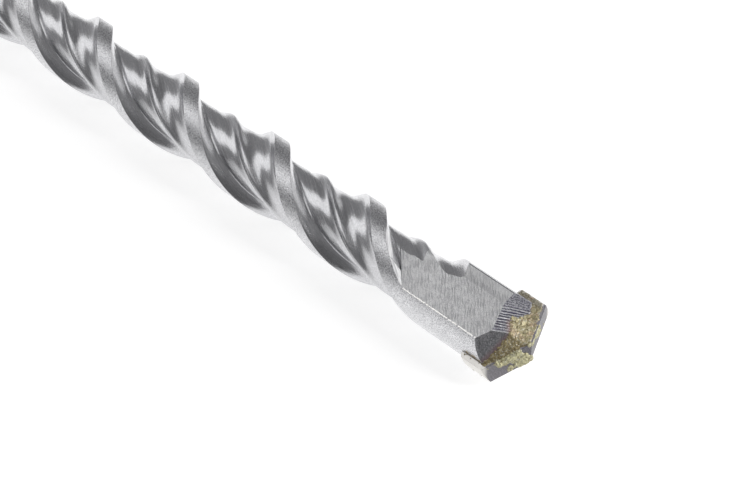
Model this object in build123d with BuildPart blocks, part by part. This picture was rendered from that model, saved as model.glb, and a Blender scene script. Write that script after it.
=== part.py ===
from build123d import *
from math import cos, pi, radians, sin, tan
import os

os.makedirs("parts", exist_ok=True)

# Frame: +X runs along the bit towards its point, +Z is up as it lies, and the origin is
# the centre of the shank's rear end. Lengths in millimetres, angles in degrees.

# Stock that a cut or a trim removes again
margin = 1.0

# Overall size
total_length = 210.0
insertion_length = 40.0
shank_radius = 5.0
body_radius = 5.3

# Roll of the bit as it lies: the plate's upper end stands this far over the horizontal
plate_roll = 28.7

# Carbide plate
plate_width = 12.0
plate_thickness = 2.3
plate_side = 4.75
point_angle = 130.0
relief_angle = 15.0
plate_corner_bevel = 0.35
roof_height = plate_width / 2 / tan(radians(point_angle / 2))
relief_slope = tan(radians(relief_angle))
point_x = roof_height - relief_slope * plate_thickness / 2
corner_x = total_length - point_x

# Brazed seat of the plate
seat_gap = 0.1
slot_width = plate_thickness + 2 * seat_gap
slot_floor_x = corner_x - plate_side - seat_gap

# Flute section over half a turn: angle behind the land's rear edge, radius over the body
# radius. The other half is the same, turned by 180 degrees.
flute_lead = 40.1
flute_start_x = 56.0
flute_runout = 11.0
runout_middle_x = 4.4
runout_middle = 3.95
runout_end = 2.9
land_corner = (30.0, 1.0)
flank_point = (33.0, 0.90)
flute_points = [
    (37.5, 0.665),
    (66.0, 0.676),
    (95.0, 0.690),
    (103.5, 0.780),
    (110.0, 0.808),
    (117.0, 0.785),
    (128.0, 0.710),
    (148.0, 0.715),
    (166.0, 0.762),
    (174.5, 0.835),
]
rear_corner = (180.0, 1.0)
rear_overshoot = 0.6

# Head: angles about the axis from the plate's upper end, in the cutting direction. Each
# flat is two planes that meet in a shallow bend, and its rear end runs aslant along the
# foot of the land. The land widens in front to fill the sector between the flats.
land_phase = 142.2
flat_from = 30.3
flat_to = 131.8
bend_share = 0.26
bend_height = 0.25
flat_rear_x = -21.65
flat_rear_slope = 1.15
fill_middle = 171.8
fill_open_side = 343.8
fill_x = -15.0
front_clearance = 5.0

# Ground facets of the steel front: height of the plane over the plate's corner at the
# axis, its slope along the plate and its slope across it
rake_facet = (3.88, -0.66, -1.75)
heel_facet = (1.60, 0.345, -0.752)

# Braze that stands round the plate: two sloping faces of the mass beside the point and its
# reach over the steel, a thin coat on the rake face, a bead where the plate leaves the land
braze_heel_face = (4.39, 0.60, -2.08)
braze_rake_face = (5.336, -0.99, -2.127)
braze_mass_reach = 1.6
coat_thickness = 0.22
coat_edge_gap = 0.45
bead_reach = 5.7
bead_width = 0.6

# Shank grooves: two open for the drive, two closed for the locking balls
shank_chamfer = 1.2
drive_groove_width = 3.8
drive_groove_floor = 3.25
drive_groove_length = 28.0
drive_cutter_radius = 9.0
lock_ball_radius = 3.5
lock_groove_floor = 3.3
lock_groove_from = 11.0
lock_groove_to = 31.0


def polar(radius, angle):
    return Vector(radius * cos(radians(angle)), radius * sin(radians(angle)))


def station(x, turn=0.0):
    """Cross plane at x: local x along the plate, local y to the plate's cutting side."""
    roll = radians(plate_roll + turn)
    return Plane(origin=(x, 0, 0), x_dir=(0, cos(roll), sin(roll)), z_dir=(1, 0, 0))


def sloped_plane(x, along, across, turn=0.0):
    """Plane through the axis at x that rises by the two slopes over the cross plane."""
    base = station(x, turn)
    side_a = base.x_dir + base.z_dir * along
    side_b = base.y_dir + base.z_dir * across
    return Plane(origin=base.origin, x_dir=side_a, z_dir=side_a.cross(side_b))


def facet_plane(facet, turn=0.0):
    rise, along, across = facet
    return sloped_plane(corner_x + rise, along, across, turn)


def section_point(point, half):
    angle, share = point
    return polar(body_radius * share, -half - angle)


# Carbide plate: a flat bar with a roof ground to two relief faces
with BuildPart() as carbide_plate:
    with BuildSketch(station(corner_x - plate_side)):
        Rectangle(plate_width + margin, plate_thickness)
        Circle(plate_width / 2, mode=Mode.INTERSECT)
    extrude(amount=plate_side + roof_height + margin)
    for turn in (0, 180):
        roof = sloped_plane(corner_x + point_x, -2 * roof_height / plate_width, relief_slope, turn)
        split(bisect_by=roof, keep=Keep.BOTTOM)
    rear_face = carbide_plate.faces().sort_by(Axis.X)[0]
    chamfer(rear_face.edges().sort_by(SortBy.LENGTH)[:2], plate_corner_bevel)

carbide_plate.part.label = "carbide_plate"
export_step(carbide_plate.part, "parts/carbide_plate.step")

# Filling of the head in front of the land: half a bar whose rear end follows the helix
with BuildPart() as head_fill:
    fill_slope = flute_lead / (2 * pi * body_radius)
    fill_tilt = polar(fill_slope, fill_middle + 90)
    with BuildSketch(station(flute_start_x)):
        Circle(body_radius + margin)
        with Locations(polar(2 * body_radius, fill_open_side)):
            Rectangle(4 * body_radius, 4 * body_radius, rotation=fill_open_side, mode=Mode.SUBTRACT)
    extrude(amount=total_length - flute_start_x)
    split(bisect_by=sloped_plane(corner_x + fill_x, fill_tilt.X, fill_tilt.Y), keep=Keep.TOP)

# Waste of one flat: everything outside its two planes, in front of its aslant rear end
with BuildPart() as flat_waste:
    upper = polar(body_radius, flat_from)
    lower = polar(body_radius, flat_to)
    outward = polar(1, (flat_from + flat_to) / 2)
    bend = upper + (lower - upper) * bend_share + outward * bend_height
    far = outward * (3 * body_radius)
    with BuildSketch(station(corner_x - 6 * body_radius)):
        with BuildLine():
            beyond_upper = upper + (upper - bend)
            beyond_lower = lower + (lower - bend) / 2
            Polyline(bend, beyond_upper, beyond_upper + far, beyond_lower + far, beyond_lower, close=True)
        make_face()
    extrude(amount=6 * body_radius + front_clearance)
    rear_tilt = polar(flat_rear_slope, (flat_from + flat_to) / 2 + 90)
    split(bisect_by=sloped_plane(corner_x + flat_rear_x, rear_tilt.X, rear_tilt.Y), keep=Keep.TOP)

# Plain stretch behind the flutes, ending in the curved run-out of the milling cutter
with BuildPart() as plain_stretch:
    runout_x = flute_start_x + flute_runout
    with BuildSketch(Plane.XY):
        with BuildLine():
            Polyline(
                (0, 0),
                (0, body_radius + margin),
                (flute_start_x, body_radius + margin),
                (flute_start_x, body_radius),
            )
            ThreePointArc(
                (flute_start_x, body_radius),
                (flute_start_x + runout_middle_x, runout_middle),
                (runout_x, runout_end),
            )
            Polyline((runout_x, runout_end), (runout_x, 0), (0, 0))
        make_face()
    revolve(axis=Axis.X)

# Turned outline: chamfered shank, shoulder, body
with BuildPart() as turned_outline:
    with BuildSketch(Plane.XY):
        with BuildLine():
            Polyline(
                (0, 0),
                (0, shank_radius - shank_chamfer),
                (shank_chamfer, shank_radius),
                (insertion_length, shank_radius),
                (insertion_length + body_radius - shank_radius, body_radius),
                (total_length + margin, body_radius),
                (total_length + margin, 0),
                close=True,
            )
        make_face()
    revolve(axis=Axis.X)

# Steel body
with BuildPart() as steel_body:
    # Twisted bar with two lands and two lower ridges, left thick on the lands
    bar_start_x = flute_start_x - margin
    bar_length = corner_x - bar_start_x
    start_phase = land_phase - 360 * bar_length / flute_lead
    with BuildSketch(station(bar_start_x, start_phase)):
        with BuildLine():
            for half in (0, 180):
                corner = section_point(land_corner, half)
                flank = section_point(flank_point, half)
                front = corner + (corner - flank)
                rear = section_point(rear_corner, half)
                rear_flank = section_point(flute_points[-1], half)
                next_front = section_point(land_corner, half + 180)
                next_flank = section_point(flank_point, half + 180)
                beyond_rear = rear + (rear - rear_flank) * rear_overshoot
                beyond_front = next_front + (next_front - next_flank)
                Polyline(front, *[section_point(p, half) for p in flute_points])
                Polyline(rear_flank, beyond_rear, beyond_front)
        make_face()
    axis_line = Edge.make_line((bar_start_x, 0, 0), (corner_x, 0, 0))
    guide = Edge.make_helix(flute_lead, bar_length, 2 * body_radius, (bar_start_x, 0, 0), (1, 0, 0))
    sweep(path=axis_line, binormal=guide)

    # Solid head in front of the lands
    add(head_fill.part)
    add(head_fill.part.rotate(Axis.X, 180))

    # Plain stretch behind the flutes, then the turned outline trims everything
    add(plain_stretch.part)
    add(turned_outline.part, mode=Mode.INTERSECT)

    # Milled flats of the head
    add(flat_waste.part, mode=Mode.SUBTRACT)
    add(flat_waste.part.rotate(Axis.X, 180), mode=Mode.SUBTRACT)

    # Ground facets in front
    for turn in (0, 180):
        split(bisect_by=facet_plane(rake_facet, turn), keep=Keep.BOTTOM)
        split(bisect_by=facet_plane(heel_facet, turn), keep=Keep.BOTTOM)

    # Slot for the plate
    with BuildSketch(station(slot_floor_x)):
        Rectangle(3 * body_radius, slot_width)
    extrude(amount=2 * plate_side + roof_height, mode=Mode.SUBTRACT)

    # Open drive grooves, run out by the cutter's radius
    for turn in (0, 180):
        with BuildSketch(Plane(origin=(0, 0, 0), x_dir=(1, 0, 0), z_dir=-station(0, turn + 90).x_dir)):
            with BuildLine():
                rim = shank_radius + margin
                run = (drive_cutter_radius**2 - (drive_cutter_radius + drive_groove_floor - rim) ** 2) ** 0.5
                straight = drive_groove_length - run
                Polyline((-margin, rim), (-margin, drive_groove_floor), (straight, drive_groove_floor))
                RadiusArc((straight, drive_groove_floor), (drive_groove_length, rim), -drive_cutter_radius)
                Line((drive_groove_length, rim), (-margin, rim))
            make_face()
        extrude(amount=drive_groove_width / 2, both=True, mode=Mode.SUBTRACT)

    # Closed locking grooves, the path of a ball
    ball_offset = lock_groove_floor + lock_ball_radius
    ball_half = (lock_ball_radius**2 - (ball_offset - shank_radius) ** 2) ** 0.5
    for turn in (0, 180):
        ball_path = station(0, turn + 90).x_dir * ball_offset
        first = Vector(lock_groove_from + ball_half, 0, 0) + ball_path
        last = Vector(lock_groove_to - ball_half, 0, 0) + ball_path
        with Locations((first + last) / 2):
            Cylinder(lock_ball_radius, (last - first).length, rotation=(0, 90, 0), mode=Mode.SUBTRACT)
        with Locations(first, last):
            Sphere(lock_ball_radius, mode=Mode.SUBTRACT)

steel_body.part.label = "steel_body"
export_step(steel_body.part, "parts/steel_body.step")

# Braze: the mass beside the point, one side of the plate
with BuildPart() as braze_mass:
    with BuildSketch(station(corner_x - roof_height)):
        with Locations((0, (plate_thickness + braze_mass_reach) / 2)):
            Rectangle(2 * body_radius, braze_mass_reach)
        Circle(body_radius, mode=Mode.INTERSECT)
    extrude(amount=3 * roof_height)
    split(bisect_by=facet_plane(braze_heel_face), keep=Keep.BOTTOM)
    split(bisect_by=facet_plane(braze_rake_face), keep=Keep.BOTTOM)

# Braze: thin coat on the rake face, below the cutting edge
with BuildPart() as braze_coat:
    with BuildSketch(station(corner_x - plate_side)):
        with Locations((body_radius / 2, (plate_thickness + coat_thickness) / 2)):
            Rectangle(body_radius, coat_thickness)
        Circle(body_radius, mode=Mode.INTERSECT)
    extrude(amount=plate_side + roof_height)
    edge_plane = sloped_plane(corner_x + roof_height - coat_edge_gap, -2 * roof_height / plate_width, 0)
    split(bisect_by=edge_plane, keep=Keep.BOTTOM)

# Braze: beads where the plate stands out of the land
with BuildPart() as braze_beads:
    with BuildSketch(station(corner_x - plate_side)):
        for side in (1, -1):
            with BuildLine():
                root = body_radius - bead_width
                face = plate_thickness / 2
                Polyline(
                    (side * root, face),
                    (side * bead_reach, face),
                    (side * root, face + 2 * bead_width),
                    close=True,
                )
            make_face()
    extrude(amount=plate_side - 2 * bead_width)

with BuildPart() as braze:
    # Joint between the plate and its slot
    with BuildSketch(station(slot_floor_x)):
        Rectangle(3 * body_radius, slot_width)
        Circle(body_radius, mode=Mode.INTERSECT)
    extrude(amount=plate_side + roof_height)
    for turn in (0, 180):
        split(bisect_by=facet_plane(rake_facet, turn), keep=Keep.BOTTOM)
        split(bisect_by=facet_plane(heel_facet, turn), keep=Keep.BOTTOM)
    for turn in (0, 180):
        add(braze_mass.part.rotate(Axis.X, turn))
        add(braze_coat.part.rotate(Axis.X, turn))
        add(braze_beads.part.rotate(Axis.X, turn))
    add(carbide_plate.part, mode=Mode.SUBTRACT)
    add(steel_body.part, mode=Mode.SUBTRACT)

braze.part.label = "braze"
export_step(braze.part, "parts/braze.step")
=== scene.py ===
"""Masonry drill bit on a white studio floor, seen from in front of its carbide point."""

import math
import random

import bmesh
import bpy
import numpy as np
from mathutils import Matrix, Vector, noise


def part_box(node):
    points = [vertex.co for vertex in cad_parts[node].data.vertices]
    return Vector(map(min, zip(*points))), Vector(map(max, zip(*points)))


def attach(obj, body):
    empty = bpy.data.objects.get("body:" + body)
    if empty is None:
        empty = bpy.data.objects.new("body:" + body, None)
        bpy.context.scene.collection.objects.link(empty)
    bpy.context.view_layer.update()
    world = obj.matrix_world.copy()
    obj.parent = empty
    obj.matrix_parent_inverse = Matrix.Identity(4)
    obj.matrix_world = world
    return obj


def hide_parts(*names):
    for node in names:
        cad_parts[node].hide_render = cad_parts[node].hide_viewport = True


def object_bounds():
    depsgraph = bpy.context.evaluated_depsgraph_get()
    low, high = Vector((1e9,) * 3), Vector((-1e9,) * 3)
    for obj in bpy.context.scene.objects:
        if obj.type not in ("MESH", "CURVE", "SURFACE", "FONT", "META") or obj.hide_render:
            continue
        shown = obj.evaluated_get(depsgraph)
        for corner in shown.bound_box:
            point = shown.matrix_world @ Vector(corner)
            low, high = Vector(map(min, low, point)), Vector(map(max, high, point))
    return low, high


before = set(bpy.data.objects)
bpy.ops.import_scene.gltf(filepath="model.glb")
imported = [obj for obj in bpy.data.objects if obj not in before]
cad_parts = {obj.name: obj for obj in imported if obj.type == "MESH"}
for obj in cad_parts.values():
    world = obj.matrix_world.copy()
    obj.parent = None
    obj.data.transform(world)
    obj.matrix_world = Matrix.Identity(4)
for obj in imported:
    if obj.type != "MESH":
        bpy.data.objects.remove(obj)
cad_low, cad_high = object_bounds()

# Driving dimensions of the bit, in millimetres and degrees
MM = 0.001
BODY_RADIUS = 5.3
SHANK_RADIUS = 5.0
SHANK_CHAMFER = 1.2
INSERTION_LENGTH = 40.0
SHOULDER_X = INSERTION_LENGTH + 0.2
PLATE_ROLL = 28.7
PLATE_WIDTH = 12.0
PLATE_THICKNESS = 2.3
PLATE_SIDE = 4.75
POINT_ANGLE = 130.0
RELIEF_ANGLE = 15.0
TOTAL_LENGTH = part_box("carbide_plate")[1][0] / MM
ROOF_HEIGHT = PLATE_WIDTH / 2 / math.tan(math.radians(POINT_ANGLE / 2))
CORNER_X = TOTAL_LENGTH - ROOF_HEIGHT + math.tan(math.radians(RELIEF_ANGLE)) * PLATE_THICKNESS / 2
SEAT_GAP = 0.1
SLOT_WIDTH = PLATE_THICKNESS + 2 * SEAT_GAP
SLOT_FLOOR_X = CORNER_X - PLATE_SIDE - SEAT_GAP

# Flute section over half a turn: angle behind the land's rear edge, share of the body radius
FLUTE_LEAD = 40.1
FLUTE_START_X = 56.0
LAND_PHASE = 142.2
LAND_EDGE = 30.2
FLUTE_POINTS = [
    (33, 0.908), (38, 0.666), (46, 0.664), (57, 0.668), (77, 0.679),
    (96, 0.691), (103, 0.762), (109, 0.808), (116, 0.787), (124, 0.731),
    (134, 0.702), (150, 0.722), (166, 0.760), (173, 0.814), (177, 0.915),
]
FLUTE_FLOOR_STEP = 0.28
FLUTE_COARSE_STEP = 0.8
FLUTE_FINE_STEP = 0.4
FLUTE_FINE_FROM = 108.03

# Sides and spacing of the turned bar's rings, and where cutters end past the point
BAR_SIDES = 360
BAR_FROM = 43.7
BAR_STEP = 3.13
PAST_POINT = TOTAL_LENGTH + 5
FACET_LENGTH = 40
SLOT_REACH = 9

# Head: flats, filling of the land and ground facets, as in the part
FLAT_FROM = 30.3
FLAT_TO = 131.8
BEND_SHARE = 0.26
BEND_HEIGHT = 0.25
FLAT_REAR_X = -21.65
FLAT_REAR_SLOPE = 1.15
FLAT_REAR_LEAN = 1.15
FLAT_DEPTH = 3.45
EDGE_RADIUS = 0.09
EDGE_BREAK = 0.13
EDGE_BREAK_TURN = 14
FILL_MIDDLE = 171.8
FILL_OPEN_SIDE = 343.8
FILL_X = -15.0
RAKE_FACET = (3.88, -0.66, -1.75)
HEEL_FACET = (1.60, 0.345, -0.752)

# Shank grooves, as in the part
DRIVE_WIDTH = 3.8
DRIVE_FLOOR = 3.25
DRIVE_LENGTH = 28.0
DRIVE_CUTTER = 9.0
LOCK_BALL = 3.5
LOCK_FLOOR = 3.3
LOCK_FROM = 11.0
LOCK_TO = 31.0

# Braze beside the plate: place along the plate, and how far across it reaches over the steel
PLATE_FACE = PLATE_THICKNESS / 2
BRAZE_REACH = [
    (-5.3, 1.2), (-4.0, 1.3), (-2.7, 1.55), (-1.0, 2.0), (0.25, 2.35),
    (1.6, 2.46), (2.1, 1.9), (3.0, 1.5), (5.2, 1.45),
]
JOINT_GAP = 0.002
MELT_VOXEL = 0.075
SMOOTH_ROUNDS = 12

# Soft lights: name, angle about the bit from +Y to +Z, span along X, half spread, radiance
LIGHT_DISTANCE = 1.0
SOFTBOXES = (
    ("key", 113, -2.2, -0.15, 23, 1.0),
    ("right_card", 22, -0.3, 0.4, 20, 0.62),
    ("front_card", 50, 0.95, 1.9, 24, 11.0),
)

# Grey of the studio's walls, from behind the shank (0) to in front of the point (1)
WALL_GREYS = (
    (0.0, 0.40), (0.2, 0.22), (0.35, 0.19), (0.5, 0.22),
    (0.62, 0.28), (0.72, 0.15), (0.85, 0.08), (1.0, 0.08),
)
WALL_BLUE = 1.02

# Floor: its half size, greys and glow, and where its glow in reflections falls off as painted shade
# (from, to, level, level)
FLOOR_HALF = 3.0
FLOOR_PAPER = (0.85, 0.85, 0.85, 1)
FLOOR_FAINT = (0.45, 0.45, 0.45, 1)
FLOOR_GLOW = 0.76
FALL_AHEAD = (0.204, 0.217, 0.97, 0.33)
FALL_ASIDE = (0.005, 0.028, 1.0, 0.45)
WHITE = (1, 1, 1, 1)


def studio_camera():
    """The photograph's view: from in front and above, looking back along the bit."""
    data = bpy.data.cameras.new("camera")
    data.sensor_width = 36.0
    data.lens = 166.6
    data.clip_start = 0.01
    data.clip_end = 50.0
    camera = bpy.data.objects.new("camera", data)
    right = Vector((0.6443, 0.7648, 0.0))
    back = Vector((0.6293, -0.5300, 0.5684))
    up = back.cross(right)
    turn = Matrix((right, up, back)).transposed().to_4x4()
    camera.matrix_world = Matrix.Translation((0.4674, -0.2426, 0.2597)) @ turn
    bpy.context.scene.collection.objects.link(camera)
    bpy.context.scene.camera = camera


def softbox(name, around, x_from, x_to, spread, radiance):
    """Rectangular lamp parallel to the bit, at an angle about its axis from +Y towards +Z."""
    along = (x_to - x_from) * LIGHT_DISTANCE
    across = 2 * LIGHT_DISTANCE * math.tan(math.radians(spread))
    data = bpy.data.lights.new(name, "AREA")
    data.shape = "RECTANGLE"
    data.size = along
    data.size_y = across
    data.energy = radiance * math.pi * along * across
    lamp = bpy.data.objects.new(name, data)
    turn = math.radians(around)
    out = Vector((0, math.cos(turn), math.sin(turn)))
    side = Vector((1, 0, 0))
    place = out * LIGHT_DISTANCE + side * (x_from + x_to) / 2 * LIGHT_DISTANCE
    facing = Matrix((side, out.cross(side), out)).transposed().to_4x4()
    lamp.matrix_world = Matrix.Translation(place) @ facing
    lamp.visible_camera = False
    bpy.context.scene.collection.objects.link(lamp)


class Nodes:
    """Short calls that build one node tree."""

    def __init__(self, tree):
        self.tree = tree

    def add(self, kind, inputs=None, **settings):
        node = self.tree.nodes.new("ShaderNode" + kind)
        for name, value in settings.items():
            setattr(node, name, value)
        for name, value in (inputs or {}).items():
            self.put(node.inputs[name], value)
        return node

    def put(self, socket, value):
        if isinstance(value, bpy.types.NodeSocket):
            self.tree.links.new(value, socket)
        else:
            socket.default_value = value

    def calc(self, operation, *values):
        return self.add("Math", dict(enumerate(values)), operation=operation).outputs[0]

    def remap(self, value, low, high, to_low=0.0, to_high=1.0, curve="SMOOTHSTEP"):
        inputs = {
            "Value": value, "From Min": low, "From Max": high,
            "To Min": to_low, "To Max": to_high,
        }
        return self.add("MapRange", inputs, interpolation_type=curve).outputs[0]


def studio_world():
    """Grey studio, lighter behind the shank and dark in front of the point; white to the camera."""
    world = bpy.data.worlds.new("studio")
    bpy.context.scene.world = world
    world.use_nodes = True
    nodes = Nodes(world.node_tree)
    nodes.tree.nodes.clear()
    way = nodes.add("TexCoord").outputs["Generated"]
    ahead = nodes.add("SeparateXYZ", {0: way}).outputs["X"]
    ramp = nodes.add("ValToRGB", {"Fac": nodes.remap(ahead, -1.0, 1.0, curve="LINEAR")})
    while len(ramp.color_ramp.elements) < len(WALL_GREYS):
        ramp.color_ramp.elements.new(0.5)
    for element, (spot, level) in zip(ramp.color_ramp.elements, WALL_GREYS):
        element.position = spot
        element.color = (level, level, level * WALL_BLUE, 1)
    walls = nodes.add("Background", {"Color": ramp.outputs["Color"]}).outputs[0]
    white = nodes.add("Background", {"Color": WHITE}).outputs[0]
    seen = nodes.add("LightPath").outputs["Is Camera Ray"]
    mix = nodes.add("MixShader", {0: seen, 1: walls, 2: white}).outputs[0]
    nodes.add("OutputWorld", {"Surface": mix})


def floor_white():
    """Floor paint: nearly its full white to the camera, the rest from the light that reaches it.

    In reflections its glow is as white under the bit, and falls off in front of the point and to the -Y
    side, as painted shade.
    """
    material = bpy.data.materials.new("floor_white")
    material.use_nodes = True
    nodes = Nodes(material.node_tree)
    nodes.tree.nodes.clear()
    path = nodes.add("LightPath").outputs
    place = nodes.add("TexCoord").outputs["Object"]
    parts = nodes.add("SeparateXYZ", {0: place}).outputs
    # Painted shade in the glow that reflections see, ahead of the point and to the -Y side.
    level = nodes.remap(parts["X"], *FALL_AHEAD, curve="LINEAR")
    aside = nodes.calc("MULTIPLY", parts["Y"], -1.0)
    fade = nodes.remap(aside, *FALL_ASIDE, curve="LINEAR")
    reflected = nodes.calc("MULTIPLY", level, fade)
    strength = nodes.add("Mix", {0: path["Is Camera Ray"], 2: reflected, 3: FLOOR_GLOW}).outputs[0]
    glow = nodes.add("Emission", {"Color": WHITE, "Strength": strength}).outputs[0]
    faint = nodes.add("BsdfDiffuse", {"Color": FLOOR_FAINT}).outputs[0]
    both = nodes.add("AddShader", {0: glow, 1: faint}).outputs[0]
    paper = nodes.add("BsdfDiffuse", {"Color": FLOOR_PAPER}).outputs[0]
    seen = nodes.calc("MAXIMUM", path["Is Camera Ray"], path["Is Glossy Ray"])
    mix = nodes.add("MixShader", {0: seen, 1: paper, 2: both}).outputs[0]
    nodes.add("OutputMaterial", {"Surface": mix})
    return material


def studio_floor():
    """Square floor at the height of the bit's lowest point."""
    z = cad_low.z
    corners = [
        (-FLOOR_HALF, -FLOOR_HALF, z), (FLOOR_HALF, -FLOOR_HALF, z),
        (FLOOR_HALF, FLOOR_HALF, z), (-FLOOR_HALF, FLOOR_HALF, z),
    ]
    mesh = bpy.data.meshes.new("floor")
    mesh.from_pydata(corners, [], [(0, 1, 2, 3)])
    floor = bpy.data.objects.new("floor", mesh)
    bpy.context.scene.collection.objects.link(floor)
    mesh.materials.append(floor_white())


def to_frame(u, v, x, turn=0.0):
    """Point of the bit's frame, in metres: u along the plate, v to its cutting side, x on the axis."""
    roll = math.radians(PLATE_ROLL + turn)
    y = u * math.cos(roll) - v * math.sin(roll)
    z = u * math.sin(roll) + v * math.cos(roll)
    return (x * MM, y * MM, z * MM)


def polar(radius, angle):
    return np.array((radius * math.cos(math.radians(angle)), radius * math.sin(math.radians(angle))))


def new_object(name, verts, faces, material=None):
    mesh = bpy.data.meshes.new(name)
    mesh.from_pydata(verts, [], faces)
    mesh.validate()
    if material:
        mesh.materials.append(material)
    thing = bpy.data.objects.new(name, mesh)
    bpy.context.scene.collection.objects.link(thing)
    return thing


def tube(name, rings, material=None, others=None):
    """Closed skin over rings of equally many points, each ring counterclockwise about its path."""
    count = len(rings[0])
    verts = [point for ring in rings for point in ring]
    faces = [tuple(reversed(range(count)))]
    for i in range(len(rings) - 1):
        for j in range(count):
            k = (j + 1) % count
            faces.append((i * count + j, i * count + k, (i + 1) * count + k, (i + 1) * count + j))
    faces.append(tuple(range((len(rings) - 1) * count, len(rings) * count)))
    thing = new_object(name, verts, faces, material)
    for slot, (face, other) in enumerate((others or {}).items(), start=1):
        thing.data.materials.append(other)
        thing.data.polygons[face].material_index = slot
    return thing


def prism(name, outline, rear, front_x, turn=0.0, material=None, others=None):
    """Prism along X whose rear end is the plane rear = (x, slope along the plate, slope across)."""
    x, along, across = rear
    back = [to_frame(u, v, x + along * u + across * v, turn) for u, v in outline]
    front = [to_frame(u, v, front_x, turn) for u, v in outline]
    return tube(name, [back, front], material, others)


def smooth_line(points, step):
    """Catmull-Rom curve through the points, sampled about every step."""
    points = [np.array(p, float) for p in points]
    padded = [2 * points[0] - points[1], *points, 2 * points[-1] - points[-2]]
    line = []
    for a, b, c, d in zip(padded, padded[1:], padded[2:], padded[3:]):
        count = max(1, round(np.linalg.norm(c - b) / step))
        for t in np.arange(count) / count:
            line.append(0.5 * (2 * b + (c - a) * t + (2 * a - 5 * b + 4 * c - d) * t ** 2
                               + (3 * b - a - 3 * c + d) * t ** 3))
    return line + [points[-1]]


def cut(target, tool):
    """Takes the tool's form away and removes the tool; the cut faces keep the tool's material."""
    change = target.modifiers.new("cut", "BOOLEAN")
    change.operation = "DIFFERENCE"
    change.solver = "EXACT"
    change.material_mode = "TRANSFER"
    change.object = tool
    graph = bpy.context.evaluated_depsgraph_get()
    mesh = bpy.data.meshes.new_from_object(target.evaluated_get(graph))
    target.modifiers.clear()
    target.data = mesh
    bpy.data.objects.remove(tool)


def flute_waste(material):
    """What one flute takes away: a twisted bar from the land's edge to the next land."""
    section = [polar(BODY_RADIUS, -LAND_EDGE)]
    section += [polar(BODY_RADIUS * share, -angle) for angle, share in FLUTE_POINTS]
    section.append(polar(BODY_RADIUS, -180))
    floor = smooth_line(section, FLUTE_FLOOR_STEP)
    first = section[0] + (section[0] - section[1])
    last = section[-1] + (section[-1] - section[-2]) * 1.2
    rim = [polar(BODY_RADIUS * 1.25, -angle) for angle in range(170, 35, -15)]
    outline = [first, *floor, last, *rim]
    coarse = np.arange(FLUTE_START_X - 1, FLUTE_FINE_FROM, FLUTE_COARSE_STEP)
    fine = np.arange(FLUTE_FINE_FROM, CORNER_X - 6, FLUTE_FINE_STEP)
    stations = np.concatenate((coarse, fine))
    rings = []
    for x in stations:
        turn = LAND_PHASE + 360 / FLUTE_LEAD * (x - CORNER_X)
        rings.append([to_frame(u, v, x, turn) for u, v in outline])
    return tube("flute_waste", rings, material)


def head_fill(turn):
    """Solid half of the head in front of the flutes, its rear end along the helix."""
    slope = FLUTE_LEAD / (2 * math.pi * BODY_RADIUS)
    tilt = polar(slope, FILL_MIDDLE + 90)
    angles = np.linspace(89.9, 270.1, 13)
    half = [polar(2 * BODY_RADIUS, FILL_OPEN_SIDE + angle) for angle in angles]
    return prism("head_fill", half, (CORNER_X + FILL_X, *tilt), PAST_POINT, turn)


def foot_fill(turn):
    """Steel left under the rear end of a flat, so that the flat reaches the foot of the land."""
    middle = (FLAT_FROM + FLAT_TO) / 2
    outward = polar(1, middle)
    sideways = polar(1, middle + 90)
    corners = ((0.5, -0.35), (FLAT_DEPTH + 0.17, -0.35), (FLAT_DEPTH + 0.17, 6), (0.5, 6))
    outline = [outward * n + sideways * t for n, t in corners]
    x, *tilt = flat_rear()
    return prism("foot_fill", outline, (x + 0.05, *tilt), CORNER_X + FILL_X, turn)


def flat_rear():
    """Rear end of a flat's waste: aslant across the flat, leaning back to the land's edge."""
    middle = (FLAT_FROM + FLAT_TO) / 2
    tilt = polar(FLAT_REAR_SLOPE, middle + 90) - polar(FLAT_REAR_LEAN, middle)
    return (CORNER_X + FLAT_REAR_X + FLAT_REAR_LEAN * FLAT_DEPTH, *tilt)


def revolved(name, profile, sides, material=None):
    angles = np.arange(sides) * 360 / sides
    rings = [[to_frame(*polar(r, a), x) for a in angles] for x, r in profile]
    return tube(name, rings, material)


def flat_waste(turn, finishes):
    """What the cutter takes from one side of the head: two planes that meet in a shallow bend.

    Its rear end leans back to the land's edge, and a narrow rubbed strip with a painted highlight
    breaks its lower edge.
    """
    middle = (FLAT_FROM + FLAT_TO) / 2
    upper = polar(BODY_RADIUS, FLAT_FROM)
    lower = polar(BODY_RADIUS, FLAT_TO)
    outward = polar(1, middle)
    bend = upper + (lower - upper) * BEND_SHARE + outward * BEND_HEIGHT
    above = upper + (upper - bend)
    inward = (bend - lower) / np.linalg.norm(bend - lower)
    strip = lower + inward * EDGE_BREAK
    below = strip + polar(1, middle + EDGE_BREAK_TURN + 90)
    far = outward * 3 * BODY_RADIUS
    outline = [above, above + far, below + far, below, strip, bend]
    milled = finishes["milled"]
    others = {0: finishes["flank"], 4: finishes["rubbed_and_highlight"]}
    return prism("flat_waste", outline, flat_rear(), PAST_POINT, turn, milled, others)


def facet_waste(facet, turn, material):
    rise, along, across = facet
    reach = 2 * BODY_RADIUS
    square = [(-reach, -reach), (reach, -reach), (reach, reach), (-reach, reach)]
    rear = (CORNER_X + rise, along, across)
    return prism("facet_waste", square, rear, TOTAL_LENGTH + FACET_LENGTH, turn, material)


def bar_profile():
    """Places and radii of the turned bar: chamfered shank, short cone, working part."""
    cone_end = INSERTION_LENGTH + BODY_RADIUS - SHANK_RADIUS
    profile = [(0, SHANK_RADIUS - SHANK_CHAMFER), (SHANK_CHAMFER, SHANK_RADIUS)]
    profile += [(x, SHANK_RADIUS) for x in range(4, 40, 4)]
    profile += [(INSERTION_LENGTH, SHANK_RADIUS), (cone_end, BODY_RADIUS)]
    profile += [(x, BODY_RADIUS) for x in np.arange(BAR_FROM, TOTAL_LENGTH + 2, BAR_STEP)]
    return profile


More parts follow.
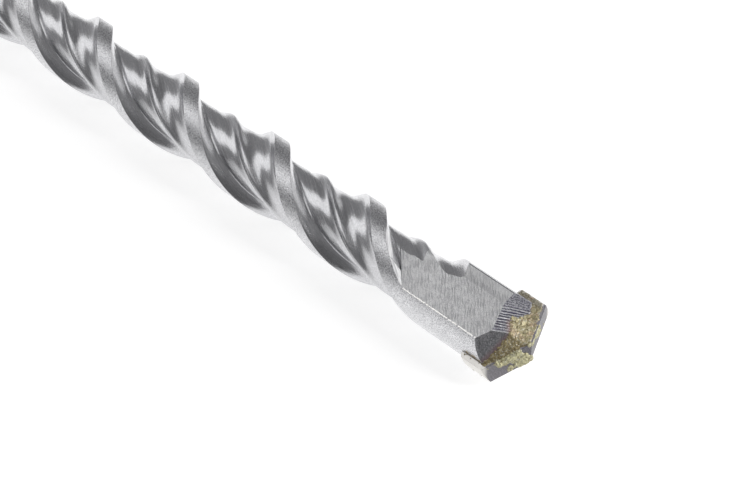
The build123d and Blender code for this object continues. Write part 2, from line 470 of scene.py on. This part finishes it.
def cut_flutes(body, material):
    for turn in (0, 180):
        waste = flute_waste(material)
        cut(waste, runout_stock())
        for side in (0, 180):
            cut(waste, head_fill(side))
        for side in (0, 180):
            cut(waste, foot_fill(side))
        if turn:
            waste.data.transform(Matrix.Rotation(math.pi, 4, "X"))
        cut(body, waste)


def steel_body(finishes):
    """Turned bar with its flutes, flats, ground facets and plate slot cut in that order."""
    body = revolved("steel_bit", bar_profile(), BAR_SIDES, finishes["blasted"])
    cut_flutes(body, finishes["flute"])
    for turn in (0, 180):
        cut(body, flat_waste(turn, finishes))
    for turn in (0, 180):
        cut(body, facet_waste(RAKE_FACET, turn, finishes["rake"]))
        cut(body, facet_waste(HEEL_FACET, turn, finishes["heel"]))
    half = SLOT_WIDTH / 2
    slot = [(-SLOT_REACH, -half), (SLOT_REACH, -half), (SLOT_REACH, half), (-SLOT_REACH, half)]
    cut(body, prism("slot_waste", slot, (SLOT_FLOOR_X, 0, 0), PAST_POINT, 0, finishes["seat"]))
    for turn in (0, 180):
        cut(body, drive_waste(turn, finishes["groove"]))
        cut(body, lock_waste(turn, finishes["groove"]))
    return body


def drive_waste(turn, material):
    """Open groove for a key of the chuck, from the rear end to where its cutter left the shank."""
    rim = SHANK_RADIUS + 1
    run = math.sqrt(DRIVE_CUTTER ** 2 - (DRIVE_CUTTER + DRIVE_FLOOR - rim) ** 2)
    centre = (DRIVE_LENGTH - run, DRIVE_FLOOR + DRIVE_CUTTER)
    sweep = math.degrees(math.asin(run / DRIVE_CUTTER))
    arc = [polar(DRIVE_CUTTER, -90 + sweep * i / 24) + centre for i in range(25)]
    outline = [(-1, rim), (-1, DRIVE_FLOOR), *arc]
    walls = (-DRIVE_WIDTH / 2, DRIVE_WIDTH / 2)
    sides = [[to_frame(u, v, x, turn) for x, u in outline] for v in walls]
    return tube("drive_waste", sides, material)


def lock_waste(turn, material):
    """Closed groove, the path of a locking ball along the shank."""
    offset = LOCK_FLOOR + LOCK_BALL
    half = math.sqrt(LOCK_BALL ** 2 - (offset - SHANK_RADIUS) ** 2)
    ends = [polar(LOCK_BALL, angle) for angle in np.linspace(0.5, 89.5, 24)]
    rear = [(LOCK_FROM + half - x, r) for x, r in ends]
    front = [(LOCK_TO - half + x, r) for x, r in reversed(ends)]
    around = np.arange(96) * math.pi / 48
    rings = []
    for x, r in rear + front:
        rings.append([to_frame(r * math.cos(a), offset + r * math.sin(a), x, turn) for a in around])
    return tube("lock_waste", rings, material)


def runout_stock():
    """Steel left behind the flutes, down to the curved end that the cutter leaves."""
    curve = smooth_line([(55.97, 5.33), (60.4, 3.95), (67, 2.9)], 0.5)
    profile = [(50, 8), (55.9, 8)] + [tuple(p) for p in curve] + [(67.4, 0.5)]
    return revolved("runout_stock", profile, 170)


def edge_finish(mesh, finishes):
    """Smooth shading within the turned and the fluted surfaces, crisp edges between all others."""
    for face in mesh.polygons:
        outer = mesh.materials[face.material_index] == finishes["blasted"]
        if outer and face.center.x < SHOULDER_X * MM:
            face.material_index = len(mesh.materials)
    mesh.materials.append(finishes["turned"])
    curved = [finishes[name] for name in ("blasted", "flute", "flank", "groove", "turned")]
    curved_slots = [i for i, material in enumerate(mesh.materials) if material in curved]
    for face in mesh.polygons:
        face.use_smooth = face.material_index in curved_slots
    mesh.set_sharp_from_angle(angle=math.radians(25))
    slots_at = {}
    for face in mesh.polygons:
        for key in face.edge_keys:
            slots_at.setdefault(key, set()).add(face.material_index)
    sharp = mesh.attributes.get("sharp_edge")
    for edge in mesh.edges:
        if len(slots_at.get(edge.key, ())) > 1:
            sharp.data[edge.index].value = True


class Look(Nodes):
    """One material's nodes, with short calls for what the finishes share. Lengths are in mm."""

    def __init__(self, name):
        self.material = bpy.data.materials.new(name)
        self.material.use_nodes = True
        super().__init__(self.material.node_tree)
        self.shader = self.tree.nodes["Principled BSDF"]
        place = self.add("TexCoord").outputs["Object"]
        self.place = self.add("VectorMath", {0: place, "Scale": 1 / MM}, operation="SCALE").outputs[0]
        parts = self.add("SeparateXYZ", {0: self.place})
        self.x, self.y, self.z = parts.outputs

    def line(self, *terms):
        """Sum of (value, factor) pairs."""
        total = 0.0
        for value, factor in terms:
            total = self.calc("MULTIPLY_ADD", value, factor, total)
        return total

    def spot(self, x, y, z=0.0):
        return self.add("CombineXYZ", {0: x, 1: y, 2: z}).outputs[0]

    def noise(self, place, scale, detail=2.0, roughness=0.5):
        inputs = {"Vector": place, "Scale": scale, "Detail": detail, "Roughness": roughness}
        return self.add("TexNoise", inputs).outputs[0]

    def blend(self, share, a, b):
        """Colour between a and b."""
        node = self.add("Mix", {0: share}, data_type="RGBA")
        for socket, value in ((node.inputs[6], a), (node.inputs[7], b)):
            self.put(socket, value if isinstance(value, bpy.types.NodeSocket) else (*value, 1))
        return node.outputs[2]

    def turned_place(self, angle):
        """Place turned about the bit's axis, by radians."""
        inputs = {"Vector": self.place, "Angle": angle}
        return self.add("VectorRotate", inputs, rotation_type="X_AXIS").outputs[0]

    def plate_place(self):
        """Place along the plate and across it."""
        parts = self.add("SeparateXYZ", {0: self.turned_place(math.radians(-PLATE_ROLL))})
        return parts.outputs[1], parts.outputs[2]

    def untwisted(self, along, across):
        """Place that stays the same along the flutes' helix, for marks that run with them."""
        angle = self.calc("MULTIPLY", self.x, -2 * math.pi / FLUTE_LEAD)
        inputs = {0: self.turned_place(angle), 1: (along, across, across)}
        return self.add("VectorMath", inputs, operation="MULTIPLY").outputs[0]

    def flat_place(self):
        """On the milled flats: place across the flat from its middle, and height over it."""
        middle = math.radians(PLATE_ROLL + (FLAT_FROM + FLAT_TO) / 2)
        out = self.line((self.y, math.cos(middle)), (self.z, math.sin(middle)))
        over = self.line((self.y, -math.sin(middle)), (self.z, math.cos(middle)))
        side = self.calc("SIGN", out)
        return self.calc("MULTIPLY", over, side), self.calc("ABSOLUTE", out)

    def rough(self, value):
        self.put(self.shader.inputs["Roughness"], value)

    def color(self, value):
        self.put(self.shader.inputs["Base Color"], value)

    def relief(self, *layers, edge=EDGE_RADIUS):
        """Bumps on top of softened edges: (height from 0 to 1, depth in millimetres) pairs."""
        normal = self.add("Bevel", {"Radius": edge * MM}, samples=4).outputs[0]
        for height, depth in layers:
            inputs = {"Height": height, "Distance": depth * MM, "Strength": 1.0, "Normal": normal}
            normal = self.add("Bump", inputs).outputs[0]
        self.put(self.shader.inputs["Normal"], normal)


def painted_edge_light(look, color, tone, level):
    """Tints the colour in a hair's width along all edges, convex and concave alike: a painted highlight
    where the tone is lighter, painted shade where it is darker.
    """
    soft = look.add("Bevel", {"Radius": 0.12 * MM}, samples=4).outputs[0]
    true = look.add("NewGeometry").outputs["Normal"]
    same = look.add("VectorMath", {0: soft, 1: true}, operation="DOT_PRODUCT").outputs["Value"]
    return look.blend(look.remap(same, 0.996, 0.97, 0, level), color, tone)


def steel_look(name):
    look = Look(name)
    look.shader.inputs["Metallic"].default_value = 1.0
    return look


def grey(level, tint=0.015):
    return (level, level, level + tint)


def blasted_steel():
    """Outer surface of the lands: blasted grain, faint clouds, traces of braze by the plate."""
    look = steel_look("steel_blasted")
    grain = look.noise(look.place, 8.0, 2, 0.6)
    clouds = look.noise(look.place, 0.45, 3)
    color = look.blend(look.remap(grain, 0.34, 0.66), grey(0.40), grey(0.90))
    color = look.blend(look.remap(clouds, 0.35, 0.7, 0, 0.35), color, grey(0.5))
    color = look.blend(braze_traces(look, grain), color, (0.50, 0.40, 0.24))
    look.color(color)
    look.rough(look.remap(grain, 0.2, 0.8, 0.22, 0.32))
    look.relief((grain, 0.045), (clouds, 0.04))
    return look.material


def braze_traces(look, grain):
    """Dabs of braze left on the land where the plate comes out of it."""
    along, across = look.plate_place()
    near = look.remap(look.calc("ABSOLUTE", across), PLATE_FACE + 0.1, PLATE_FACE + 1.1, 1, 0)
    front = look.remap(look.x, CORNER_X - 4.9, CORNER_X - 3.9)
    dabs = look.noise(look.place, 1.6, 4, 0.65)
    level = look.line((near, 0.5), (dabs, 1.0), (grain, 0.25))
    return look.calc("MULTIPLY", look.remap(level, 0.94, 1.1, 0, 0.75), front)


def flute_steel():
    """Flute floors: marks along the helix over the same blasted grain."""
    look = steel_look("steel_flute")
    grain = look.noise(look.place, 6.0, 3, 0.7)
    marks = look.noise(look.untwisted(0.12, 3.2), 1.0, 3, 0.6)
    fine = look.noise(look.untwisted(0.3, 9.0), 1.0, 2, 0.5)
    color = look.blend(look.remap(grain, 0.34, 0.66), grey(0.52), grey(0.70))
    color = look.blend(look.remap(marks, 0.32, 0.55, 0.3, 0), color, grey(0.42))
    look.color(color)
    look.rough(look.remap(marks, 0.3, 0.7, 0.2, 0.28))
    look.relief((marks, 0.008), (fine, 0.003), (grain, 0.014))
    return look.material


def flank_steel():
    """Rear ends of the flats: kept bright by a near-white colour with little metal, a painted
    highlight, with coarse cutter marks that run with the helix.
    """
    look = steel_look("steel_flank")
    marks = look.noise(look.untwisted(0.2, 4.5), 1.0, 2, 0.5)
    grain = look.noise(look.place, 6.0, 3, 0.7)
    # Painted highlight: near-white colour, with less metal below; the marks vary it.
    look.color(look.blend(look.remap(marks, 0.38, 0.58), grey(0.6), grey(0.98, 0)))
    look.shader.inputs["Metallic"].default_value = 0.35
    look.rough(look.remap(grain, 0.3, 0.7, 0.28, 0.4))
    look.relief((marks, 0.06), (grain, 0.02))
    return look.material


def turned_steel():
    """Shank: ground bright, with rings from turning."""
    look = steel_look("steel_turned")
    rings = look.noise(look.spot(look.calc("MULTIPLY", look.x, 7.0), 0.0), 1.0, 3, 0.6)
    clouds = look.noise(look.place, 0.5, 3)
    color = look.blend(look.remap(rings, 0.3, 0.7), grey(0.52), grey(0.68))
    look.color(look.blend(look.remap(clouds, 0.4, 0.7, 0, 0.4), color, grey(0.42)))
    look.rough(look.remap(clouds, 0.3, 0.7, 0.26, 0.4))
    look.relief((rings, 0.008), (clouds, 0.02))
    return look.material


def groove_steel():
    """Shank grooves: matte from the cutter, with marks across them."""
    look = steel_look("steel_groove")
    marks = look.noise(look.spot(look.calc("MULTIPLY", look.x, 3.5), look.y, look.z), 1.0, 3, 0.6)
    grain = look.noise(look.place, 6.0, 2)
    look.color(look.blend(look.remap(marks, 0.3, 0.7), grey(0.36), grey(0.52)))
    look.rough(look.remap(grain, 0.3, 0.7, 0.38, 0.5))
    look.relief((marks, 0.02), (grain, 0.01))
    return look.material


def milled_steel():
    """Flats of the head: matte, with short cutter marks along the helix; painted shade at the foot of
    the rear wall and along the top edge, and painted light and shade on the upper plane.
    """
    look = steel_look("steel_milled")
    over, out = look.flat_place()
    along = look.line((look.x, 1.0), (over, -1.063))
    wobble = look.noise(look.place, 0.8, 2)
    stroke_along = look.calc("MULTIPLY", along, 3.9)
    stroke_over = look.calc("MULTIPLY", over, 1.5)
    stroke_place = look.spot(stroke_along, stroke_over, wobble)
    wave = look.calc("SINE", look.line((along, 2 * math.pi / 0.28), (wobble, 9.0)))
    strokes = look.line((wave, 0.2), (look.noise(stroke_place, 1.0, 1, 0.4), 0.7), (1.0, 0.15))
    grain = look.noise(look.place, 7.0, 2, 0.7)
    patches = look.noise(look.place, 0.7, 2)
    depth = look.remap(patches, 0.35, 0.65, 0.25, 1.0)
    marks = look.calc("MULTIPLY", look.calc("SUBTRACT", strokes, 0.5), depth)
    color = look.blend(look.remap(marks, -0.14, 0.06), grey(0.45), grey(1.0, 0))
    color = look.blend(look.remap(grain, 0.38, 0.52, 0.55, 0), color, grey(0.48))
    bend = (1 - 2 * BEND_SHARE) * BODY_RADIUS * math.sin(math.radians(FLAT_TO - FLAT_FROM) / 2)
    past_bend = look.remap(over, -bend + 0.06, -bend - 0.06)
    near_bend = look.remap(over, -bend - 1.4, -bend, 0, 0.3)
    shade_past_bend = look.calc("MULTIPLY", past_bend, near_bend)
    # Painted light on the upper plane away from the bend, and painted shade on it next to the bend.
    color = look.blend(look.remap(over, -bend - 0.5, -bend - 1.4, 0, 0.3), color, grey(1.0, 0))
    color = look.blend(shade_past_bend, color, grey(0.4))
    # Painted shade along the foot of the flat's rear wall.
    rear_foot_shade = look.line((look.x, 1.0), (over, -FLAT_REAR_SLOPE), (1.0, -CORNER_X - FLAT_REAR_X))
    color = look.blend(look.remap(rear_foot_shade, 0.22, 0.08, 0, 0.8), color, grey(0.12))
    # Painted shade in a thin line along the flat's top edge.
    top = BODY_RADIUS * math.sin(math.radians(FLAT_TO - FLAT_FROM) / 2)
    color = look.blend(look.remap(over, -top + 0.2, -top + 0.1, 0, 0.75), color, grey(0.12))
    look.color(color)
    look.rough(look.remap(grain, 0.2, 0.8, 0.44, 0.56))
    look.relief((look.calc("ADD", marks, 0.5), 0.06), (grain, 0.05))
    return look.material


def rubbed_highlight_steel():
    """Narrow strip where the flat's lower edge was rubbed, with nicks; its near-white, partly diffuse
    colour is also a painted highlight.
    """
    look = steel_look("steel_rubbed_highlight")
    nicks = look.noise(look.place, 2.6, 3, 0.7)
    # Near-white colour: a painted highlight on top of the rubbed edge.
    look.color(look.blend(look.remap(nicks, 0.40, 0.47), grey(0.38), (1.0, 0.985, 0.95)))
    look.rough(look.remap(nicks, 0.3, 0.7, 0.22, 0.32))
    look.shader.inputs["Metallic"].default_value = 0.7
    look.relief((nicks, 0.02), edge=0.02)
    return look.material


def ground_lines(look, along, across, spacing, straightness):
    """Grinding marks of a given spacing, as a wave and uneven streaks together, from 0 to 1."""
    wobble = look.noise(look.place, 0.9, 2)
    phase = look.line((across, 2 * math.pi / spacing), (wobble, 5.0))
    wave = look.calc("SINE", phase)
    streak_across = look.calc("MULTIPLY", across, 2 / spacing)
    streak_along = look.calc("MULTIPLY", along, straightness)
    streaks = look.noise(look.spot(streak_across, streak_along), 1.0, 3, 0.6)
    return look.remap(look.line((wave, 0.28), (streaks, 1.2)), 0.2, 1.0)


def rake_steel():
    """Ground facet beside the point: blue-grey, with grinding lines and hatching at its outer end."""
    dark_line, light_line = (0.09, 0.083, 0.13), (0.62, 0.62, 0.64)
    dark_hatch, light_hatch = (0.09, 0.09, 0.12), (0.54, 0.54, 0.57)
    heated = (0.50, 0.33, 0.26)
    look = steel_look("steel_rake")
    along, across = look.plate_place()
    over_lines = look.line((along, 1.046), (across, 1.0))
    with_lines = look.line((along, 1.0), (across, -1.046))
    lines = ground_lines(look, with_lines, over_lines, 0.34, 0.5)
    hatch = look.noise(look.place, 5.0, 3, 0.7)
    reach = look.calc("ABSOLUTE", over_lines)
    outer_share = look.remap(reach, 5.9, 5.3, 0.15, 1)
    inner_share = look.remap(reach, 2.6, 3.2, 0.5, 1)
    strength = look.calc("MULTIPLY", outer_share, inner_share)
    lines = look.calc("MULTIPLY_ADD", look.calc("SUBTRACT", lines, 0.5), strength, 0.5)
    color = look.blend(look.remap(lines, 0.1, 0.9), dark_line, light_line)
    open_share = look.line((strength, -0.6), (1.0, 1.0))
    low = look.calc("MULTIPLY", look.remap(hatch, 0.42, 0.52, 0.9, 0), open_share)
    color = look.blend(low, color, dark_hatch)
    high = look.calc("MULTIPLY", look.remap(hatch, 0.52, 0.60, 0, 0.8), open_share)
    color = look.blend(high, color, light_hatch)
    tint = look.calc("MULTIPLY", heat_tint(look, along, across), look.remap(reach, 4.4, 3.2))
    # Painted highlight along the facet's edges.
    look.color(painted_edge_light(look, look.blend(tint, color, heated), grey(0.8), 0.8))
    look.rough(look.remap(hatch, 0.3, 0.7, 0.38, 0.52))
    look.relief((lines, 0.06), (hatch, 0.03))
    return look.material


def heat_tint(look, along, across):
    """Brown and purple tint of the steel close to the braze."""
    beside = look.calc("MULTIPLY", along, look.calc("SIGN", across))
    reach = look.calc("SUBTRACT", look.calc("ABSOLUTE", across), look.line((beside, 0.2), (1.0, 2.2)))
    clouds = look.noise(look.place, 1.4, 3)
    level = look.line((look.remap(reach, 0.9, 0.0), 0.75), (clouds, 0.5))
    return look.remap(level, 0.35, 1.1, 0, 0.75)


def heel_steel():
    """Ground facet on the heel side: charcoal with brush marks, purple-brown near the braze."""
    heated = (0.28, 0.18, 0.19)
    look = steel_look("steel_heel")
    along, across = look.plate_place()
    over_marks = look.line((along, 9.0), (across, -8.5))
    with_marks = look.line((along, 0.6), (across, 0.6))
    brush = look.noise(look.spot(over_marks, with_marks), 1.0, 2)
    grain = look.noise(look.place, 5.0, 3, 0.7)
    color = look.blend(look.remap(brush, 0.35, 0.65), (0.21, 0.21, 0.222), (0.30, 0.30, 0.312))
    color = look.blend(look.remap(grain, 0.5, 0.62, 0, 0.6), color, (0.52, 0.52, 0.54))
    color = look.blend(look.remap(grain, 0.46, 0.36, 0, 0.6), color, (0.13, 0.13, 0.138))
    color = look.blend(heat_tint(look, along, across), color, heated)
    # Painted highlight along the facet's edges.
    look.color(painted_edge_light(look, color, grey(0.9), 0.8))
    look.rough(look.remap(grain, 0.3, 0.7, 0.42, 0.55))
    look.relief((brush, 0.015), (grain, 0.03))
    return look.material


def seat_steel():
    """Sides of the plate's slot, dark from brazing."""
    look = steel_look("steel_seat")
    clouds = look.noise(look.place, 1.5, 3)
    look.color(look.blend(clouds, grey(0.16), (0.28, 0.24, 0.18)))
    look.rough(look.remap(clouds, 0.3, 0.7, 0.45, 0.6))
    look.relief((clouds, 0.03))
    return look.material


def carbide():
    """Cutting plate: purplish grey, ground in one direction, with painted shade along its edges."""
    look = steel_look("carbide_ground")
    along, across = look.plate_place()
    over_marks = look.line((along, 9.0), (look.x, 4.0))
    with_marks = look.calc("MULTIPLY", across, 0.8)
    brush = look.noise(look.spot(over_marks, with_marks), 1.0, 3, 0.6)
    grain = look.noise(look.place, 5.0, 3, 0.7)
    clouds = look.noise(look.place, 0.9, 2)
    color = look.blend(look.remap(brush, 0.35, 0.65), (0.215, 0.206, 0.22), (0.305, 0.296, 0.31))
    color = look.blend(look.remap(clouds, 0.35, 0.7, 0, 0.4), color, (0.25, 0.235, 0.265))
    color = look.blend(look.remap(grain, 0.4, 0.62, 0, 0.45), color, (0.16, 0.155, 0.165))
    # Painted shade along the plate's edges.
    color = painted_edge_light(look, color, grey(0.05), 0.8)
    outer = look.calc("ABSOLUTE", along)
    below_corner = look.remap(look.x, CORNER_X - 0.1, CORNER_X - 0.4)
    sides = look.calc("MULTIPLY", look.remap(outer, 5.1, 5.3), below_corner)
    ends = look.calc("MAXIMUM", look.remap(outer, 5.88, 5.93), sides)
    look.color(look.blend(ends, color, (0.72, 0.70, 0.67)))
    look.rough(look.remap(grain, 0.3, 0.7, 0.30, 0.42))
    look.relief((brush, 0.01), (grain, 0.015), edge=0.08)
    return look.material


def braze_look():
    """Braze as it flowed: golden beside the point, browner on the heel, pale over the plate."""
    brown, golden = (0.36, 0.295, 0.155), (0.62, 0.55, 0.33)
    outer_grey, pink_brown, over_plate = (0.36, 0.34, 0.29), (0.68, 0.48, 0.34), (0.64, 0.61, 0.37)
    lump_top_highlight, lump_hollow_shade = (0.74, 0.71, 0.58), (0.19, 0.145, 0.07)
    crease_shade, grain_light, grain_dark = (0.13, 0.10, 0.05), (0.85, 0.83, 0.74), (0.19, 0.15, 0.08)
    look = Look("braze_flowed")
    along, across = look.plate_place()
    lump_x = look.calc("MULTIPLY", look.x, 1.8)
    lump_z = look.calc("MULTIPLY", look.z, 1.8)
    lumps = look.noise(look.spot(lump_x, look.y, lump_z), 1.5, 4, 0.65)
    grains = look.noise(look.place, 4.5, 3, 0.7)
    clouds = look.noise(look.place, 0.9, 2)
    beside = look.calc("MULTIPLY", along, look.calc("SIGN", across))
    slope = 2 * ROOF_HEIGHT / PLATE_WIDTH
    relief = math.tan(math.radians(RELIEF_ANGLE))
    fall = look.calc("ABSOLUTE", look.line((along, slope), (across, -relief)))
    roof = CORNER_X + ROOF_HEIGHT - relief * PLATE_FACE
    over_roof = look.line((look.x, 1.0), (fall, 1.0), (1.0, -roof))
    color = look.blend(look.remap(beside, -0.5, 0.5), brown, golden)
    color = look.blend(look.remap(beside, 4.6, 5.4, 0, 0.8), color, outer_grey)
    cloudy = look.remap(clouds, 0.53, 0.63, 0, 0.5)
    pink = look.calc("MULTIPLY", cloudy, look.remap(beside, -0.6, 0.3))
    color = look.blend(pink, color, pink_brown)
    color = look.blend(look.remap(over_roof, -0.12, 0.02), color, over_plate)
    # Painted highlight on the tops of the lumps and painted shade in their hollows, from the noise that
    # also raises them.
    color = look.blend(look.remap(lumps, 0.54, 0.64, 0, 0.8), color, lump_top_highlight)
    color = look.blend(look.remap(lumps, 0.48, 0.34, 0, 0.8), color, lump_hollow_shade)
    # Painted shade in thin creases of the folds.
    folds = look.noise(look.place, 1.3, 3, 0.6)
    crease = look.calc("ABSOLUTE", look.calc("SUBTRACT", folds, 0.5))
    color = look.blend(look.remap(crease, 0.025, 0.0, 0, 0.75), color, crease_shade)
    color = look.blend(look.remap(grains, 0.58, 0.66, 0, 0.8), color, grain_light)
    color = look.blend(look.remap(grains, 0.42, 0.34, 0, 0.6), color, grain_dark)
    look.color(color)
    look.shader.inputs["Metallic"].default_value = 0.3
    look.rough(look.remap(lumps, 0.3, 0.7, 0.5, 0.36))
    look.relief((lumps, 0.1), (grains, 0.06), edge=0.05)
    return look.material


def steel_front(u, v):
    """Height of the steel's ground front beside the plate."""
    facets = (RAKE_FACET, HEEL_FACET)
    heights = [rise + along * u + across * v for rise, along, across in facets]
    return CORNER_X + min(heights)


def plate_top(u, v):
    """Height of the plate's roof."""
    relief = math.tan(math.radians(RELIEF_ANGLE))
    point = ROOF_HEIGHT - relief * PLATE_FACE
    slope = 2 * ROOF_HEIGHT / PLATE_WIDTH
    return CORNER_X + point - abs(slope * u - relief * v)


def mass_lumps(draw, spilled):
    """Braze in the corner between the plate's face and the steel, from the heel past the point."""
    places, reach = zip(*BRAZE_REACH)
    lumps = []
    for u in np.arange(-5.0, 3.1, 0.26):
        edge = np.interp(u, places, reach) + draw.uniform(-0.06, 0.06)
        low = steel_front(u, edge)
        top = plate_top(u, PLATE_FACE) + (0.08 if spilled and -3.8 < u < -1.1 else -0.4)
        rise = np.array((PLATE_FACE - edge, top - low))
        length = np.linalg.norm(rise)
        outward = np.array((rise[1], -rise[0])) / length
        steps = max(2, math.ceil(length / 0.28))
        for share in np.linspace(0, 1, steps + 1):
            radius = draw.uniform(0.42, 0.58)
            sink = 0.78 * radius + 0.16 * length * share * (1 - share)
            v, x = np.array((edge, low)) + rise * share - outward * sink
            lumps.append((u + draw.uniform(-0.08, 0.08), v, x, radius))
    return lumps


def coat_lumps(draw):
    """Thin coat on the plate's face beside and above the steel, kept off the cutting edge."""
    lumps = []
    for u in np.arange(2.9, 5.8, 0.24):
        low = steel_front(u, PLATE_FACE) if u < 5.15 else CORNER_X - PLATE_SIDE + 0.5
        top = plate_top(u, PLATE_FACE) - 0.5
        for x in np.arange(low - 0.1, top, 0.24):
            radius = draw.uniform(0.24, 0.34)
            v = PLATE_FACE + draw.uniform(0.06, 0.2) - radius
            lumps.append((min(u, 5.9 - radius), v, x, radius))
    return lumps


def cap_lumps(draw):
    """Pale skin that ran over the heel's relief face, and drops on the cutting half's."""
    lumps = []
    for u in np.arange(-3.8, -0.2, 0.24):
        lowest = np.interp(u, (-3.8, -3.4, -2.4, -2.2), (0.8, 0.4, 0.25, -0.95))
        highest = np.interp(u, (-1.1, -0.2), (1.1, -0.8))
        for v in np.arange(lowest, highest + 0.01, 0.24):
            radius = draw.uniform(0.26, 0.4)
            moved = v + draw.uniform(-0.06, 0.06)
            lumps.append((u, moved, plate_top(u, v) + draw.uniform(-0.03, 0.05), radius))
    drops = [(2.0, 0.4), (2.3, 0.2), (2.6, 0.3), (2.9, 0.15), (0.35, 1.1), (0.55, 1.15)]
    for u, v in drops:
        lumps.append((u, v, plate_top(u, v) + 0.02, draw.uniform(0.3, 0.38)))
    return lumps


def heel_dabs(draw):
    """Small dabs along the joint where the plate comes out of the land on the heel side."""
    lumps = []
    for x in (-4.2, -3.9, -3.0, -1.6):
        radius = draw.uniform(0.12, 0.17)
        u = -draw.uniform(5.2, 5.4)
        lumps.append((u, PLATE_FACE + 0.05 - radius * 0.6, CORNER_X + x, radius))
    return lumps


def melted(name, groups):
    """Groups of (lumps, flatness) merged into one smoothed skin, in millimetres."""
    merged = bmesh.new()
    for lumps, height in groups:
        for u, v, x, radius in lumps:
            place = Matrix.Translation((u, v, x - CORNER_X)) @ Matrix.Diagonal((1, 1, height, 1))
            bmesh.ops.create_icosphere(merged, subdivisions=2, radius=radius, matrix=place)
    mesh = bpy.data.meshes.new("braze_mass")
    merged.to_mesh(mesh)
    merged.free()
    thing = bpy.data.objects.new(name, mesh)
    bpy.context.scene.collection.objects.link(thing)
    remesh = thing.modifiers.new("melt", "REMESH")
    remesh.mode = "VOXEL"
    remesh.voxel_size = MELT_VOXEL
    smooth = thing.modifiers.new("flow", "SMOOTH")
    smooth.factor = 0.5
    smooth.iterations = SMOOTH_ROUNDS
    graph = bpy.context.evaluated_depsgraph_get()
    mesh = bpy.data.meshes.new_from_object(thing.evaluated_get(graph))
    thing.modifiers.clear()
    thing.data = mesh
    return thing


def braze_mass(turn, seed, spilled, material):
    """Lumps of one side melted together, roughened again and put in the bit's frame."""
    draw = random.Random(seed)
    thick = mass_lumps(draw, spilled) + coat_lumps(draw) + heel_dabs(draw)
    thin = cap_lumps(draw) if spilled else []
    thing = melted("braze_mass_" + str(turn), ((thick, 1.0), (thin, 0.5)))
    mesh = thing.data
    furthest = TOTAL_LENGTH - 0.01
    normals = [vertex.normal.copy() for vertex in mesh.vertices]
    for vertex, normal in zip(mesh.vertices, normals):
        wave = noise.noise(vertex.co * 1.7 + Vector((seed, 0, 0)))
        fold = abs(noise.noise(vertex.co * 2.4 + Vector((0, 0, seed))))
        pit = noise.noise(vertex.co * 4.5 + Vector((0, seed, 0)))
        vertex.co += normal * (0.1 * wave + 0.18 * fold - 0.03 + 0.03 * pit)
        u, v, x = vertex.co
        vertex.co = to_frame(u, v, min(x + CORNER_X, furthest), turn)
    for face in mesh.polygons:
        face.use_smooth = True
    mesh.materials.clear()
    mesh.materials.append(material)
    return thing


def braze_joint(material):
    """Thin layer between the plate and its slot: two sides and a floor."""
    half = math.sqrt((BODY_RADIUS - 0.02) ** 2 - (SLOT_WIDTH / 2) ** 2)
    inner = PLATE_FACE + JOINT_GAP
    outer = SLOT_WIDTH / 2 - JOINT_GAP
    rear = (SLOT_FLOOR_X + JOINT_GAP, 0, 0)
    side = [(-half, inner), (half, inner), (half, outer), (-half, outer)]
    shells = []
    for turn in (0, 180):
        shell = prism("braze_side", side, rear, PAST_POINT, turn, material)
        for facet in (RAKE_FACET, HEEL_FACET):
            cut(shell, facet_waste((facet[0] - 0.01, *facet[1:]), turn, material))
        shells.append(shell)
    edge = inner - 2 * JOINT_GAP
    floor = [(-half, -edge), (half, -edge), (half, edge), (-half, edge)]
    top = SLOT_FLOOR_X + SEAT_GAP - JOINT_GAP
    shells.append(prism("braze_floor", floor, rear, top, 0, material))
    return joined("braze_joint", shells, material)


def joined(name, things, material):
    merged = bmesh.new()
    for thing in things:
        merged.from_mesh(thing.data)
        bpy.data.objects.remove(thing)
    mesh = bpy.data.meshes.new(name)
    merged.to_mesh(mesh)
    merged.free()
    mesh.materials.append(material)
    result = bpy.data.objects.new(name, mesh)
    bpy.context.scene.collection.objects.link(result)
    return result


def declare(piece, slot, *nodes):
    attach(piece, "root")
    if nodes:
        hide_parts(*nodes)


studio_camera()
studio_world()
studio_floor()
for light in SOFTBOXES:
    softbox(*light)
bpy.context.scene.view_settings.view_transform = "Standard"

finishes = {
    "blasted": blasted_steel(),
    "flute": flute_steel(),
    "flank": flank_steel(),
    "turned": turned_steel(),
    "groove": groove_steel(),
    "milled": milled_steel(),
    "rubbed_and_highlight": rubbed_highlight_steel(),
    "rake": rake_steel(),
    "heel": heel_steel(),
    "seat": seat_steel(),
}
body = steel_body(finishes)
edge_finish(body.data, finishes)
declare(body, "steel", "steel_body")

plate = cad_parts["carbide_plate"]
plate.data.materials.clear()
plate.data.materials.append(carbide())

flowed = braze_look()
declare(braze_joint(flowed), "braze", "braze")
for turn, seed, spilled in ((0, 11, True), (180, 23, False)):
    declare(braze_mass(turn, seed, spilled, flowed), "braze", "braze")
